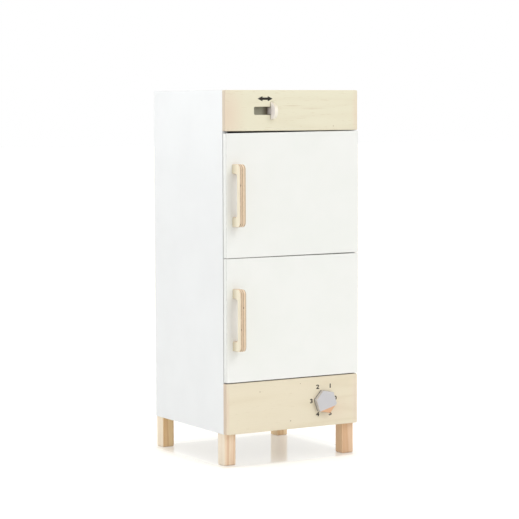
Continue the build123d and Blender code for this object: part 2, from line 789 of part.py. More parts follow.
with BuildPart() as catch_screws:
    with Locations(*[place for places in catch_screw_places.values() for place in places]):
        add(screw(medium_screw_radius, medium_head_radius, catch_screw_length))
catch_screws.part.label = "catch_screws"
export_step(catch_screws.part, "parts/catch_screws.step")

# Doors, and what each one carries
for name, corners in door_corners.items():
    strike_plane = facing(1, catch_middle_x, door_back_y, catch_middles[name])
    handle_z = handle_middles[name]
    handle_screw_zs = (handle_z - handle_screw_rise, handle_z + handle_screw_rise)
    handle_screw_places = [facing(1, handle_middle_x, door_back_y, z) for z in handle_screw_zs]
    with BuildPart() as door:
        with BuildSketch(upright(door_back_y)) as outline:
            with BuildLine():
                Polyline(*corners, close=True)
            make_face()
            fillet(outline.vertices(), door_corner_radius)
        extrude(amount=door_thickness)
        fillet(door.faces().sort_by(Axis.Y)[0].edges(), eased_edge)
        with Locations(*handle_screw_places):
            countersink(large_screw_radius, large_head_radius, door_thickness)
        with Locations(*[facing(1, side_middle_x, door_back_y, z) for z in hinge_screw_zs[name]]):
            pilot(small_screw_radius, hinge_screw_grip)
        with Locations(strike_plane):
            pilot(small_screw_radius, hinge_screw_grip)
    door.part.label = f"{name}_door"
    export_step(door.part, f"parts/{name}_door.step")

    with BuildPart() as handle:
        with BuildSketch(Plane.YZ.offset(handle_left_x)) as profile:
            with Locations((handle_front_y, handle_z)):
                Rectangle(handle_reach, handle_height, align=(Align.MIN, Align.CENTER))
            fillet(profile.vertices().group_by(Axis.X)[0], handle_outer_radius)
            with BuildSketch(Plane.YZ, mode=Mode.PRIVATE) as opening:
                with Locations((handle_front_y + handle_bar, handle_z)):
                    Rectangle(
                        handle_reach - handle_bar,
                        handle_height - 2 * handle_foot,
                        align=(Align.MIN, Align.CENTER),
                    )
                fillet(opening.vertices().group_by(Axis.X)[0], handle_inner_radius)
            add(opening.sketch_local, mode=Mode.SUBTRACT)
        extrude(amount=handle_thickness)
        side_faces = handle.faces().filter_by(Axis.X)
        door_face = handle.faces().sort_by(Axis.Y)[-1]
        side_edges = side_faces.edges().filter_by(lambda edge: edge.center().Y < door_front_y)
        fillet(side_edges.filter_by(lambda edge: edge not in door_face.edges()), handle_edge_radius)
        with Locations(*[place.offset(-door_thickness) for place in handle_screw_places]):
            pilot(large_screw_radius, handle_screw_bite)
    handle.part.label = f"{name}_handle"
    export_step(handle.part, f"parts/{name}_handle.step")

    with BuildPart() as handle_screws:
        with Locations(*handle_screw_places):
            add(screw(large_screw_radius, large_head_radius, handle_screw_length))
    handle_screws.part.label = f"{name}_handle_screws"
    export_step(handle_screws.part, f"parts/{name}_handle_screws.step")

    with BuildPart() as hinge_door_screws:
        with Locations(
            *[facing(1, side_middle_x, door_back_y + leaf_thickness, z) for z in hinge_screw_zs[name]]
        ):
            add(screw(small_screw_radius, small_head_radius, hinge_screw_length))
    hinge_door_screws.part.label = f"{name}_hinge_door_screws"
    export_step(hinge_door_screws.part, f"parts/{name}_hinge_door_screws.step")

    with BuildPart() as strike_plate:
        with BuildSketch(strike_plane):
            RectangleRounded(strike_width, strike_height, strike_corner_radius)
        extrude(amount=strike_thickness)
        with Locations(strike_plane.offset(strike_thickness)):
            countersink(small_screw_radius, small_head_radius, strike_thickness)
    strike_plate.part.label = f"{name}_strike_plate"
    export_step(strike_plate.part, f"parts/{name}_strike_plate.step")

    with BuildPart() as strike_screw:
        with Locations(strike_plane.offset(strike_thickness)):
            add(screw(small_screw_radius, small_head_radius, strike_thickness + hinge_screw_grip))
    strike_screw.part.label = f"{name}_strike_screw"
    export_step(strike_screw.part, f"parts/{name}_strike_screw.step")
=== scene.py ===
from math import cos, pi, radians, sin

import bmesh
import bpy
from mathutils import Matrix, Vector


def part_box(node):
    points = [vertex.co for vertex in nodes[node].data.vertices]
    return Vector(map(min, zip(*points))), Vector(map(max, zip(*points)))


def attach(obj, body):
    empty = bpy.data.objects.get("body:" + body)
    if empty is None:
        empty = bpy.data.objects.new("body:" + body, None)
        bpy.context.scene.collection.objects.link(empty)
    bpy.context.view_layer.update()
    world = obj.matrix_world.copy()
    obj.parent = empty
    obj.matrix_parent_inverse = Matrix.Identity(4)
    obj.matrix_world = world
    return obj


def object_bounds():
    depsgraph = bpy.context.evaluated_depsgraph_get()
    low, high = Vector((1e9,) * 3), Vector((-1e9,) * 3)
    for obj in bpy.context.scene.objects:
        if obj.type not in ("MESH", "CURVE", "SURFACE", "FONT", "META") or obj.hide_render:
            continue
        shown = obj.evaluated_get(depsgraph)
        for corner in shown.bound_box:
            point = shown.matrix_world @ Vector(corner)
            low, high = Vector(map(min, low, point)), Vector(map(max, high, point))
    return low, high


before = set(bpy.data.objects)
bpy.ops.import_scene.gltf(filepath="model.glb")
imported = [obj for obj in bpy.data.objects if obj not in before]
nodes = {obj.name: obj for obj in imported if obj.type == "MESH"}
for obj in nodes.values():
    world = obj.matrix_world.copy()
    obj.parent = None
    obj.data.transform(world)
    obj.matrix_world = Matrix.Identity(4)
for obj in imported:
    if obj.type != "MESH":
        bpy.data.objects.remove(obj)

# Toy refrigerator: white painted board, pale wood fascias, plywood handles, legs of solid wood.
# Metres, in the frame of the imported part: the doors face -Y and the hinges are at +X.

cad_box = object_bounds()


def tone(red, green, blue):
    """A colour from a paint chart, 0 to 255, as linear light."""
    shares = [part / 255 for part in (red, green, blue)]
    return (*[s / 12.92 if s < 0.04 else ((s + 0.055) / 1.055) ** 2.4 for s in shares], 1.0)


# Small helpers for node trees

def put(tree, kind, **settings):
    """Adds a node with the settings."""
    node = tree.nodes.new(kind)
    for setting, value in settings.items():
        setattr(node, setting, value)
    return node


def feed(tree, socket, value):
    """Links a socket to the socket, or writes a plain value on it."""
    if isinstance(value, bpy.types.NodeSocket):
        tree.links.new(value, socket)
    else:
        socket.default_value = value


def calc(tree, operation, *values):
    node = put(tree, "ShaderNodeMath", operation=operation)
    for socket, value in zip(node.inputs, values):
        feed(tree, socket, value)
    return node.outputs[0]


def aim(tree, operation, *values):
    node = put(tree, "ShaderNodeVectorMath", operation=operation)
    for socket, value in zip(node.inputs, values):
        feed(tree, socket, value)
    return node.outputs["Value" if operation == "LENGTH" else "Vector"]


def fade(tree, value, start, end, low=0.0, high=1.0):
    """Goes smoothly from low to high while the value goes from start to end."""
    node = put(tree, "ShaderNodeMapRange", interpolation_type="SMOOTHSTEP")
    for label, given in (
        ("Value", value), ("From Min", start), ("From Max", end), ("To Min", low), ("To Max", high),
    ):
        feed(tree, node.inputs[label], given)
    return node.outputs["Result"]


def mingle(tree, share, first, second):
    """The first colour, giving way to the second by the share."""
    node = put(tree, "ShaderNodeMix", data_type="RGBA")
    feed(tree, node.inputs[0], share)
    feed(tree, node.inputs[6], first)
    feed(tree, node.inputs[7], second)
    return node.outputs[2]


def glaze(tree, colour, tint, mask, strength):
    """A colour with a tint laid over it where the mask is, as thickly as the strength."""
    return mingle(tree, calc(tree, "MULTIPLY", mask, strength), colour, tint)


def grit(tree, where, scale, detail=2.0, roughness=0.5):
    node = put(tree, "ShaderNodeTexNoise")
    feed(tree, node.inputs["Vector"], where)
    feed(tree, node.inputs["Scale"], scale)
    node.inputs["Detail"].default_value = detail
    node.inputs["Roughness"].default_value = roughness
    return node.outputs[0]


def place_of(tree):
    """The point being coloured, in metres in the part's frame."""
    return put(tree, "ShaderNodeTexCoord").outputs["Object"]


def xyz_of(tree, vector):
    """The X, Y and Z of a vector."""
    split = put(tree, "ShaderNodeSeparateXYZ")
    feed(tree, split.inputs[0], vector)
    return split.outputs[0], split.outputs[1], split.outputs[2]


def turned(tree, axis):
    """How squarely a face looks along X, Y or Z: 1 for square, either way round."""
    facing = xyz_of(tree, put(tree, "ShaderNodeNewGeometry").outputs["True Normal"])
    return calc(tree, "ABSOLUTE", facing["XYZ".index(axis)])


def effect(name, inputs, outputs):
    """Starts a shader group; gives its tree, what comes in and what goes out."""
    tree = bpy.data.node_groups.new(name, "ShaderNodeTree")
    for label, value in inputs.items():
        kind = "NodeSocketFloat" if isinstance(value, float) else "NodeSocketVector"
        socket = tree.interface.new_socket(name=label, in_out="INPUT", socket_type=kind)
        socket.default_value = value
    for label in outputs:
        tree.interface.new_socket(name=label, in_out="OUTPUT", socket_type="NodeSocketFloat")
    return tree, put(tree, "NodeGroupInput").outputs, put(tree, "NodeGroupOutput").inputs


def use(tree, name, **values):
    """Places a shared effect in a material, with that material's own values."""
    node = put(tree, "ShaderNodeGroup", node_tree=bpy.data.node_groups[name])
    for label, value in values.items():
        feed(tree, node.inputs[label], value)
    return node.outputs


# Shared effects

# Arris: 1 along the edges of a board that fills the box from Low to High, with a ragged limit
tree, given, result = effect(
    "arris", {"Low": (0.0, 0.0, 0.0), "High": (1.0, 1.0, 1.0), "Width": 0.001}, ["Mask"]
)
here = place_of(tree)
nearest = aim(
    tree, "MINIMUM", aim(tree, "SUBTRACT", here, given["Low"]), aim(tree, "SUBTRACT", given["High"], here)
)
x, y, z = xyz_of(tree, nearest)
second = calc(
    tree, "MAXIMUM", calc(tree, "MINIMUM", x, y), calc(tree, "MINIMUM", calc(tree, "MAXIMUM", x, y), z)
)
ragged = calc(tree, "MULTIPLY_ADD", grit(tree, here, 160.0, 3.0), given["Width"], second)
feed(tree, result["Mask"], fade(tree, ragged, calc(tree, "MULTIPLY", given["Width"], 1.5), 0.0))

# Grain: broad figure, fine fibres and short pores, drawn out along the wood
tree, given, result = effect(
    "grain",
    {"Figure": (3.0, 18.0, 18.0), "Fibre": (40.0, 1500.0, 1500.0), "Shift": (0.0, 0.0, 0.0), "Rings": 7.0},
    ["Bands", "Late", "Fibres", "Pores", "Height"],
)
here = aim(tree, "ADD", place_of(tree), given["Shift"])
field = grit(tree, aim(tree, "MULTIPLY", here, given["Figure"]), 1.0, 1.6, 0.45)
wave = calc(tree, "SINE", calc(tree, "MULTIPLY", field, calc(tree, "MULTIPLY", given["Rings"], 2 * pi)))
bands = calc(tree, "MULTIPLY_ADD", wave, 0.5, 0.5)
strands = aim(tree, "MULTIPLY", here, given["Fibre"])
fibres = fade(tree, grit(tree, strands, 1.0, 3.0, 0.6), 0.25, 0.75)
pores = fade(tree, grit(tree, aim(tree, "MULTIPLY", strands, (1.7, 0.7, 0.7)), 1.0, 1.0), 0.68, 0.76)
feed(tree, result["Bands"], bands)
feed(tree, result["Late"], calc(tree, "POWER", bands, 5.0))
feed(tree, result["Fibres"], fibres)
feed(tree, result["Pores"], pores)
height = calc(tree, "MULTIPLY_ADD", bands, 0.25, calc(tree, "MULTIPLY", fibres, 0.5))
feed(tree, result["Height"], calc(tree, "MULTIPLY_ADD", pores, -0.5, height))

# Spot: 1 at Centre, falling to 0 at Size, such as a knot, a mineral streak or a rubbed patch
tree, given, result = effect(
    "spot", {"Centre": (0.0, 0.0, 0.0), "Size": (0.01, 0.01, 0.01), "Soft": 0.5, "Ragged": 0.3}, ["Mask"]
)
here = place_of(tree)
apart = aim(tree, "LENGTH", aim(tree, "DIVIDE", aim(tree, "SUBTRACT", here, given["Centre"]), given["Size"]))
torn = calc(tree, "SUBTRACT", grit(tree, here, 900.0, 2.0), 0.5)
apart = calc(tree, "MULTIPLY_ADD", torn, given["Ragged"], apart)
feed(tree, result["Mask"], fade(tree, apart, 1.0, calc(tree, "SUBTRACT", 1.0, given["Soft"])))

# Plies: the layers of plywood, with the first glue line at First and the others a Layer apart
tree, given, result = effect(
    "plies", {"Depth": 0.0, "First": 0.003, "Layer": 0.003, "Line": 0.0004}, ["Cross", "Glue"]
)
wander = calc(tree, "SUBTRACT", grit(tree, place_of(tree), 55.0, 2.0), 0.5)
depth = calc(tree, "MULTIPLY_ADD", wander, 0.0006, calc(tree, "SUBTRACT", given["Depth"], given["First"]))
layer = calc(tree, "DIVIDE", depth, given["Layer"])
feed(tree, result["Cross"], calc(tree, "MODULO", calc(tree, "FLOOR", calc(tree, "ADD", layer, 1.0)), 2.0))
off = calc(tree, "ABSOLUTE", calc(tree, "SUBTRACT", calc(tree, "FRACT", calc(tree, "ADD", layer, 0.5)), 0.5))
off = calc(tree, "MULTIPLY", off, given["Layer"])
fresh = fade(tree, grit(tree, place_of(tree), 130.0, 2.0), 0.2, 0.6, 0.55, 1.0)
line = fade(tree, off, given["Line"], calc(tree, "MULTIPLY", given["Line"], 0.3))
feed(tree, result["Glue"], calc(tree, "MULTIPLY", line, fresh))

# Gap shade: 1 on the level edges of a board, behind Front, but not close to Highest and Lowest; a dark tone
# there is painted shade
gap_shade_start, gap_shade_whole = 0.0008, 0.0016
outer_start, outer_whole = 0.002, 0.004
tree, given, result = effect(
    "gap shade on board edges", {"Level": 0.0, "Front": 0.0, "Highest": 1.0, "Lowest": 0.0}, ["Mask"]
)
_, back, height = xyz_of(tree, place_of(tree))
level = fade(tree, given["Level"], 0.8, 0.95)
under_top = fade(
    tree, height,
    calc(tree, "SUBTRACT", given["Highest"], outer_start),
    calc(tree, "SUBTRACT", given["Highest"], outer_whole),
)
over_foot = fade(
    tree, height,
    calc(tree, "ADD", given["Lowest"], outer_start),
    calc(tree, "ADD", given["Lowest"], outer_whole),
)
behind = fade(
    tree, back,
    calc(tree, "ADD", given["Front"], gap_shade_start),
    calc(tree, "ADD", given["Front"], gap_shade_whole),
)
inside = calc(tree, "MULTIPLY", under_top, over_foot)
feed(tree, result["Mask"], calc(tree, "MULTIPLY", calc(tree, "MULTIPLY", level, inside), behind))

# Lacquer: the fine skin of sprayed paint over board
tree, given, result = effect("lacquer", {"Fine": 700.0}, ["Height", "Cloud", "Rub"])
here = place_of(tree)
peel = grit(tree, here, given["Fine"], 2.0, 0.45)
swell = grit(tree, here, 55.0, 1.0)
feed(tree, result["Height"], calc(tree, "MULTIPLY_ADD", swell, 1.5, peel))
feed(tree, result["Cloud"], fade(tree, grit(tree, here, 7.0, 3.0, 0.6), 0.3, 0.7))
feed(tree, result["Rub"], fade(tree, grit(tree, here, 26.0, 4.0, 0.7), 0.3, 0.75))

# Brushing: fine lines left by rolling or turning metal
tree, given, result = effect("brushing", {"Stretch": (3000.0, 3000.0, 60.0)}, ["Lines", "Haze"])
here = place_of(tree)
feed(tree, result["Lines"], grit(tree, aim(tree, "MULTIPLY", here, given["Stretch"]), 1.0, 2.0, 0.6))
feed(tree, result["Haze"], fade(tree, grit(tree, here, 420.0, 4.0, 0.65), 0.35, 0.7))


# Finishes

def begin(name):
    """A new material with a shader; gives the material, its tree and the shader's inputs."""
    material = bpy.data.materials.new(name)
    material.use_nodes = True
    tree = material.node_tree
    shader = tree.nodes["Principled BSDF"]
    return material, tree, shader.inputs


def shown(tree):
    """1 for the rays that see the room itself: straight on, mirrored or through glass."""
    rays = put(tree, "ShaderNodeLightPath").outputs
    mirrored = calc(tree, "MAXIMUM", rays["Is Glossy Ray"], rays["Is Transmission Ray"])
    return calc(tree, "MAXIMUM", rays["Is Camera Ray"], mirrored)


def relief(tree, shader, height, depth, strength):
    """Bumps of the height, as deep in metres as given."""
    bump = put(tree, "ShaderNodeBump")
    bump.inputs["Strength"].default_value = strength
    bump.inputs["Distance"].default_value = depth
    feed(tree, bump.inputs["Height"], height)
    feed(tree, shader["Normal"], bump.outputs[0])


def dulled(tree, shader, mask, spread, gloss):
    """Roughness: as given by the gloss, and duller by the spread where the mask is."""
    feed(tree, shader["Roughness"], calc(tree, "MULTIPLY_ADD", mask, spread, gloss))


def wear(node, material):
    """Gives a node the material as its only one."""
    slots = nodes[node].data.materials
    slots.clear()
    slots.append(material)


def in_gap(tree, low):
    """Where a board's level edges lie in the gaps round the doors, to be darkened as painted shade, by the
    board's own lowest corner.
    """
    highest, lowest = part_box("upper_fascia")[1].z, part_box("lower_fascia")[0].z
    return use(
        tree, "gap shade on board edges", Level=turned(tree, "Z"), Front=low.y, Highest=highest, Lowest=lowest
    )["Mask"]


def patched(tree, colour, patches, ragged):
    """A colour with soft patches on it, each given by its centre, size, strength and tint."""
    for centre, size, strength, tint in patches:
        patch = use(tree, "spot", Centre=centre, Size=size, Soft=1.0, Ragged=ragged)["Mask"]
        colour = glaze(tree, colour, tint, patch, strength)
    return colour


paint_edge = tone(226, 225, 220)
paint_relief, wood_relief, plywood_relief = 0.00004, 0.00008, 0.00012
metal_relief, thin_relief = 0.00002, 0.00003


def painted(node, colour, shade, arris_colour=paint_edge, gloss=0.4, arris_width=0.0009, patches=(), raw_and_gap_shade=None):
    """Sprayed board: cloudy tint, thin paint along the edges, a faint orange-peel skin, dark level edges in
    gaps as painted shade.
    """
    material, tree, shader = begin(node + "_paint")
    low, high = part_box(node)
    skin = use(tree, "lacquer")
    edge = use(tree, "arris", Low=low, High=high, Width=arris_width)["Mask"]
    colour = mingle(tree, skin["Cloud"], colour, shade)
    colour = patched(tree, colour, patches, 0.2)
    colour = glaze(tree, colour, arris_colour, edge, 0.75)
    if raw_and_gap_shade:
        # In the door gaps the level edges take a dark raw-board tone: partly bare board, mostly painted shade.
        colour = mingle(tree, in_gap(tree, low), colour, glaze(tree, raw_and_gap_shade, paint_edge, skin["Rub"], 0.12))
    feed(tree, shader["Base Color"], colour)
    dulled(tree, shader, skin["Rub"], 0.1, calc(tree, "MULTIPLY_ADD", edge, 0.08, gloss))
    shader["Specular IOR Level"].default_value = 0.35
    relief(tree, shader, skin["Height"], paint_relief, 0.5)
    wear(node, material)


def timber(node, pale, dark, streak, figure, fibre, shift, rings=7.0, contrast=0.5, gloss=0.5,
           arris_colour=None, knots=(), patches=(), side_face_tint_and_light=None, raw_and_gap_shade=None):
    """Planed and oiled wood: growth bands, fibres, pores, knots, tinted patches, a tint on sideways faces (end
    grain on the fascias, painted light and shade on the legs), dark level edges in gaps as painted shade.
    """
    material, tree, shader = begin(node + "_wood")
    low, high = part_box(node)
    grain = use(tree, "grain", Figure=figure, Fibre=fibre, Shift=shift, Rings=rings)
    edge = use(tree, "arris", Low=low, High=high, Width=0.0011)["Mask"]
    colour = glaze(tree, pale, dark, grain["Bands"], contrast)
    colour = glaze(tree, colour, streak, grain["Late"], contrast * 0.6)
    colour = glaze(tree, colour, streak, grain["Fibres"], contrast * 0.28)
    colour = glaze(tree, colour, streak, grain["Pores"], 0.4)
    colour = patched(tree, colour, patches, 0.25)
    # Faces looking along X get their own tint: end grain on the fascias, painted light and shade on the legs.
    if side_face_tint_and_light:
        tint, strength = side_face_tint_and_light
        colour = glaze(tree, colour, tint, turned(tree, "X"), strength)
    for centre, size in knots:
        ring = use(tree, "spot", Centre=centre, Size=size * 2.6, Soft=0.9, Ragged=0.5)["Mask"]
        core = use(tree, "spot", Centre=centre, Size=size, Soft=0.5, Ragged=0.6)["Mask"]
        colour = glaze(tree, colour, streak, ring, 0.35)
        colour = glaze(tree, colour, knot_brown, core, 0.8)
    colour = glaze(tree, colour, arris_colour or dark, edge, 0.55)
    # In the door gaps the level edges take a dark raw-wood tone: partly bare wood, mostly painted shade.
    if raw_and_gap_shade:
        colour = mingle(tree, in_gap(tree, low), colour, raw_and_gap_shade)
    feed(tree, shader["Base Color"], colour)
    dulled(tree, shader, grain["Fibres"], 0.12, calc(tree, "MULTIPLY_ADD", grain["Pores"], 0.1, gloss))
    shader["Specular IOR Level"].default_value = 0.3
    relief(tree, shader, grain["Height"], wood_relief, 0.6)
    wear(node, material)


# Painted boards

side_white, side_shade = tone(243, 245, 246), tone(240, 242, 243)
inner_white, inner_shade = tone(240, 240, 237), tone(236, 236, 232)
back_white, back_shade, back_edge = tone(236, 236, 232), tone(231, 231, 226), tone(205, 196, 180)
door_white, door_shade, door_arris_shade = tone(243, 244, 241), tone(240, 242, 238), tone(178, 178, 172)
# Dark raw-board and raw-wood tones for the level edges in the door gaps, darker than bare board: painted shade.
raw_board_and_gap_shade, raw_wood_and_gap_shade = tone(84, 68, 53), tone(112, 92, 70)
for node in ("left_side_panel", "right_side_panel", "top_panel"):
    painted(node, side_white, side_shade)
for node in ("header_panel", "divider_panel", "floor_panel", "bottom_panel", "upper_shelf", "lower_shelf"):
    painted(node, inner_white, inner_shade, gloss=0.46)
painted("back_panel", back_white, back_shade, back_edge, gloss=0.55)
# The doors' edges are drawn dark grey: thin paint, darkened further as painted shade along the edges.
for node in ("upper_door", "lower_door"):
    painted(node, door_white, door_shade, door_arris_shade, gloss=0.38, arris_width=0.0014, raw_and_gap_shade=raw_board_and_gap_shade)

# Fascias, with their grain from side to side

low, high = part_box("upper_fascia")
front = low.y
pale_birch, birch, birch_streak = tone(235, 230, 206), tone(230, 222, 194), tone(208, 192, 160)
pale_pine, pine = tone(236, 226, 202), tone(231, 218, 190)
pink_birch, end_pink, knot_brown = tone(231, 209, 187), tone(229, 212, 194), tone(120, 92, 60)
fleck = Vector((0.0012, 0.003, 0.001))


def on_front(x, z, width, height):
    """Centre and size of a patch on the fascias' front, deep enough for their rounded edges."""
    return Vector((x, front, z)), Vector((width, 0.03, height))


timber(
    "upper_fascia", pale_birch, birch, birch_streak,
    figure=(1.6, 15.0, 15.0), fibre=(28.0, 900.0, 900.0), shift=(0.31, 0.02, 0.115), contrast=0.11,
    arris_colour=tone(222, 205, 178), raw_and_gap_shade=raw_wood_and_gap_shade, side_face_tint_and_light=(tone(214, 200, 181), 0.9),
    knots=[(Vector((0.104, front, 0.7225)), fleck)],
    patches=[
        (*on_front(low.x, 0.745, 0.062, 0.1), 0.7, pink_birch),
        (*on_front(high.x, 0.75, 0.02, 0.09), 0.5, pink_birch),
        (*on_front(0.0, 0.7665, 0.036, 0.0022), 0.5, birch_streak),
        (*on_front(0.05, 0.7605, 0.042, 0.0026), 0.35, birch_streak),
    ],
)
timber(
    "lower_fascia", pale_pine, pine, birch_streak,
    figure=(1.3, 13.0, 13.0), fibre=(26.0, 900.0, 900.0), shift=(0.74, 0.1, 0.43), contrast=0.22,
    arris_colour=tone(214, 196, 168), raw_and_gap_shade=raw_wood_and_gap_shade, side_face_tint_and_light=(tone(216, 198, 178), 0.9),
    knots=[
        (Vector((-0.083, front, 0.155)), fleck),
        (Vector((0.019, front, 0.1655)), fleck * 0.8),
        (Vector((-0.006, front, 0.086)), fleck * 1.2),
    ],
    patches=[
        (*on_front(low.x, 0.12, 0.012, 0.09), 0.7, pink_birch),
        (*on_front(0.105, 0.105, 0.06, 0.04), 0.35, pink_birch),
        (*on_front(high.x, 0.12, 0.024, 0.09), 0.7, end_pink),
    ],
)

# Legs, with their grain upright; each leg's own tones and the tint on its sideways faces are painted light and
# shade

leg_streak = tone(206, 156, 108)
for number, (node, pale, dark, side_face_tint_and_light) in enumerate((
    ("front_left_leg", tone(245, 224, 198), tone(236, 207, 177), tone(248, 237, 217)),
    ("front_right_leg", tone(235, 203, 172), tone(226, 187, 151), tone(252, 212, 170)),
    ("rear_left_leg", tone(255, 224, 176), tone(248, 206, 152), tone(248, 237, 217)),
    ("rear_right_leg", tone(255, 226, 184), tone(248, 208, 160), tone(255, 224, 180)),
)):
    timber(
        node, pale, dark, leg_streak,
        figure=(48.0, 48.0, 1.8), fibre=(1100.0, 1100.0, 30.0), shift=(0.37 * number, 0.21, 0.5 * number),
        rings=4.0, contrast=0.6, gloss=0.52, arris_colour=dark, side_face_tint_and_light=(side_face_tint_and_light, 0.8),
    )

# Hidden rails and keeper, dowels and pegs

for node in ("slider_top_rail", "slider_bottom_rail"):
    timber(
        node, tone(224, 204, 168), tone(206, 180, 140), tone(170, 138, 98),
        figure=(2.0, 40.0, 40.0), fibre=(40.0, 1200.0, 1200.0), shift=(0.2, 0.3, 0.1),
    )
for node in ("board_dowels", "fascia_dowels", "shelf_pegs", "dial_axle", "dial_hub"):
    timber(
        node, tone(228, 206, 170), tone(210, 180, 138), tone(168, 132, 90),
        figure=(30.0, 30.0, 30.0), fibre=(300.0, 600.0, 600.0), shift=(0.5, 0.1, 0.2), contrast=0.6,
    )
stem_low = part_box("slider_tab")[0]
keeper_low, keeper_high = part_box("slider_keeper")
# A dark patch on the keeper beside the tab's stem, moving with it: painted shadow of the tab.
stem_shadow_centre = Vector((stem_low.x, keeper_low.y, (keeper_low.z + keeper_high.z) / 2))
painted(
    "slider_keeper", tone(181, 180, 161), tone(173, 172, 153), tone(144, 140, 122), gloss=0.6,
    patches=[(stem_shadow_centre, Vector((0.019, 0.02, 0.03)), 0.9, tone(88, 74, 62))],
)

# Handles of plywood: a veneer on each side and thicker plies between, seen as lines down the front

veneer_pale, veneer_dark, veneer_streak = tone(251, 244, 222), tone(244, 233, 207), tone(206, 178, 140)
veneer_shade_near_door = tone(202, 190, 162)
core_pale, core_dark = tone(237, 217, 190), tone(223, 197, 167)
crossed_pale, crossed_dark = tone(221, 200, 174), tone(207, 180, 150)
glue_brown, handle_arris, void_brown = tone(128, 96, 66), tone(205, 176, 140), tone(84, 66, 48)
veneer_thickness, ply_thickness, glue_line = 0.0022, 0.0053, 0.0007
void_size = (0.0013, 0.003, 0.0028)
for node, nudge, voids in (
    ("upper_handle", -0.0002, ((0.0022, 0.6), (0.0024, 0.518))),
    ("lower_handle", 0.0009, ((0.0032, 0.296), (0.0083, 0.342))),
):
    material, tree, shader = begin(node + "_plywood")
    low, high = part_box(node)
    across, back, _ = xyz_of(tree, place_of(tree))
    depth = calc(tree, "SUBTRACT", across, low.x)
    plies = use(
        tree, "plies", Depth=depth, First=veneer_thickness + nudge, Layer=ply_thickness, Line=glue_line
    )
    face = use(
        tree, "grain", Figure=(18.0, 18.0, 2.4), Fibre=(900.0, 900.0, 30.0), Shift=(0.1, 0.4, low.z),
        Rings=4.0,
    )
    ends = use(
        tree, "grain", Figure=(160.0, 60.0, 12.0), Fibre=(1600.0, 900.0, 120.0), Shift=(0.3, 0.2, 0.6),
        Rings=2.0,
    )
    edge = use(tree, "arris", Low=low, High=high, Width=0.0008)["Mask"]
    veneer = glaze(tree, veneer_pale, veneer_dark, face["Bands"], 0.6)
    veneer = glaze(tree, veneer, veneer_streak, face["Fibres"], 0.2)
    # The veneer darkens towards the door: painted shade.
    veneer = mingle(tree, fade(tree, back, low.y + 0.008, high.y, 0.0, 0.7), veneer, veneer_shade_near_door)
    core = mingle(tree, ends["Fibres"], core_pale, core_dark)
    crossed = mingle(tree, ends["Fibres"], crossed_pale, crossed_dark)
    colour = mingle(tree, turned(tree, "X"), mingle(tree, plies["Cross"], core, crossed), veneer)
    colour = glaze(tree, colour, glue_brown, plies["Glue"], 0.85)
    colour = glaze(tree, colour, handle_arris, edge, 0.2)
    for inward, height in voids:
        void = use(
            tree, "spot", Centre=(low.x + inward, low.y, height), Size=void_size, Soft=0.6, Ragged=0.5
        )["Mask"]
        colour = glaze(tree, colour, void_brown, void, 0.85)
    feed(tree, shader["Base Color"], colour)
    dulled(tree, shader, plies["Cross"], 0.12, 0.46)
    shader["Specular IOR Level"].default_value = 0.3
    sunk = calc(tree, "MULTIPLY_ADD", plies["Glue"], -0.6, face["Height"])
    relief(tree, shader, calc(tree, "MULTIPLY_ADD", plies["Cross"], -0.2, sunk), plywood_relief, 0.6)
    wear(node, material)

# Slider tab: painted, pinkish on its sides, cream round its rim; a darker rim top and a dark line where it
# meets the fascia are painted shade

tab_pink, tab_pink_shade = tone(249, 243, 240), tone(245, 238, 235)
tab_cream, tab_cream_shade, tab_cream_top_shade = tone(252, 246, 232), tone(250, 243, 228), tone(228, 219, 197)
tab_contact_shade, foot_middle, foot_full, foot_end = tone(92, 78, 64), 0.0007, 0.0005, 0.0009
top_start, top_full = 0.002, 0.013
material, tree, shader = begin("slider_tab_paint")
low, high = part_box("slider_tab")
_, back, height = xyz_of(tree, place_of(tree))
skin = use(tree, "lacquer")
side_tint = mingle(tree, skin["Cloud"], tab_pink, tab_pink_shade)
rim_tint = mingle(tree, skin["Cloud"], tab_cream, tab_cream_shade)
rise = calc(tree, "SUBTRACT", height, (low.z + high.z) / 2)
# The rim darkens towards its top: painted shade.
rim_tint = mingle(tree, fade(tree, rise, top_start, top_full), rim_tint, tab_cream_top_shade)
colour = mingle(tree, fade(tree, turned(tree, "X"), 0.75, 0.98), rim_tint, side_tint)
# A dark line round the tab's back, where it meets the fascia: painted shade.
off_contact_shade = calc(tree, "ABSOLUTE", calc(tree, "SUBTRACT", calc(tree, "SUBTRACT", front, back), foot_middle))
colour = glaze(tree, colour, tab_contact_shade, fade(tree, off_contact_shade, foot_end, foot_full), 0.9)
feed(tree, shader["Base Color"], colour)
dulled(tree, shader, skin["Rub"], 0.12, 0.36)
relief(tree, shader, skin["Height"], paint_relief, 0.5)
wear("slider_tab", material)

# Knob: grey paint on its face, an orange pointer field at one side, plywood round the rim, a dark band at its
# back as painted shade

knob_grey, knob_grey_shade = tone(207, 205, 206), tone(203, 202, 205)
knob_orange, knob_orange_shade = tone(228, 182, 145), tone(222, 172, 133)
rim_pale, rim_dark = tone(216, 212, 210), tone(200, 195, 190)
rim_glue, rim_contact_shade = tone(150, 134, 112), tone(62, 52, 42)
first_ply, knob_ply, knob_glue_line = 0.0034, 0.0038, 0.0006
paint_full, paint_end, rim_contact_shade_start, rim_contact_shade_full = 0.0009, 0.0012, 0.0096, 0.0103
pointer_soft = 0.0001
material, tree, shader = begin("dial_knob_paint")
low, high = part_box("dial_knob")
knob_turn = radians(11)
pointer_turn = radians(-63.7) - knob_turn
knob_reach = (high.x - low.x) / 2 / cos(knob_turn)
pointer_line = knob_reach * 0.555
x, y, z = xyz_of(tree, aim(tree, "SUBTRACT", place_of(tree), (low + high) / 2))
skin = use(tree, "lacquer")
along = calc(tree, "MULTIPLY_ADD", x, cos(pointer_turn), calc(tree, "MULTIPLY", z, sin(pointer_turn)))
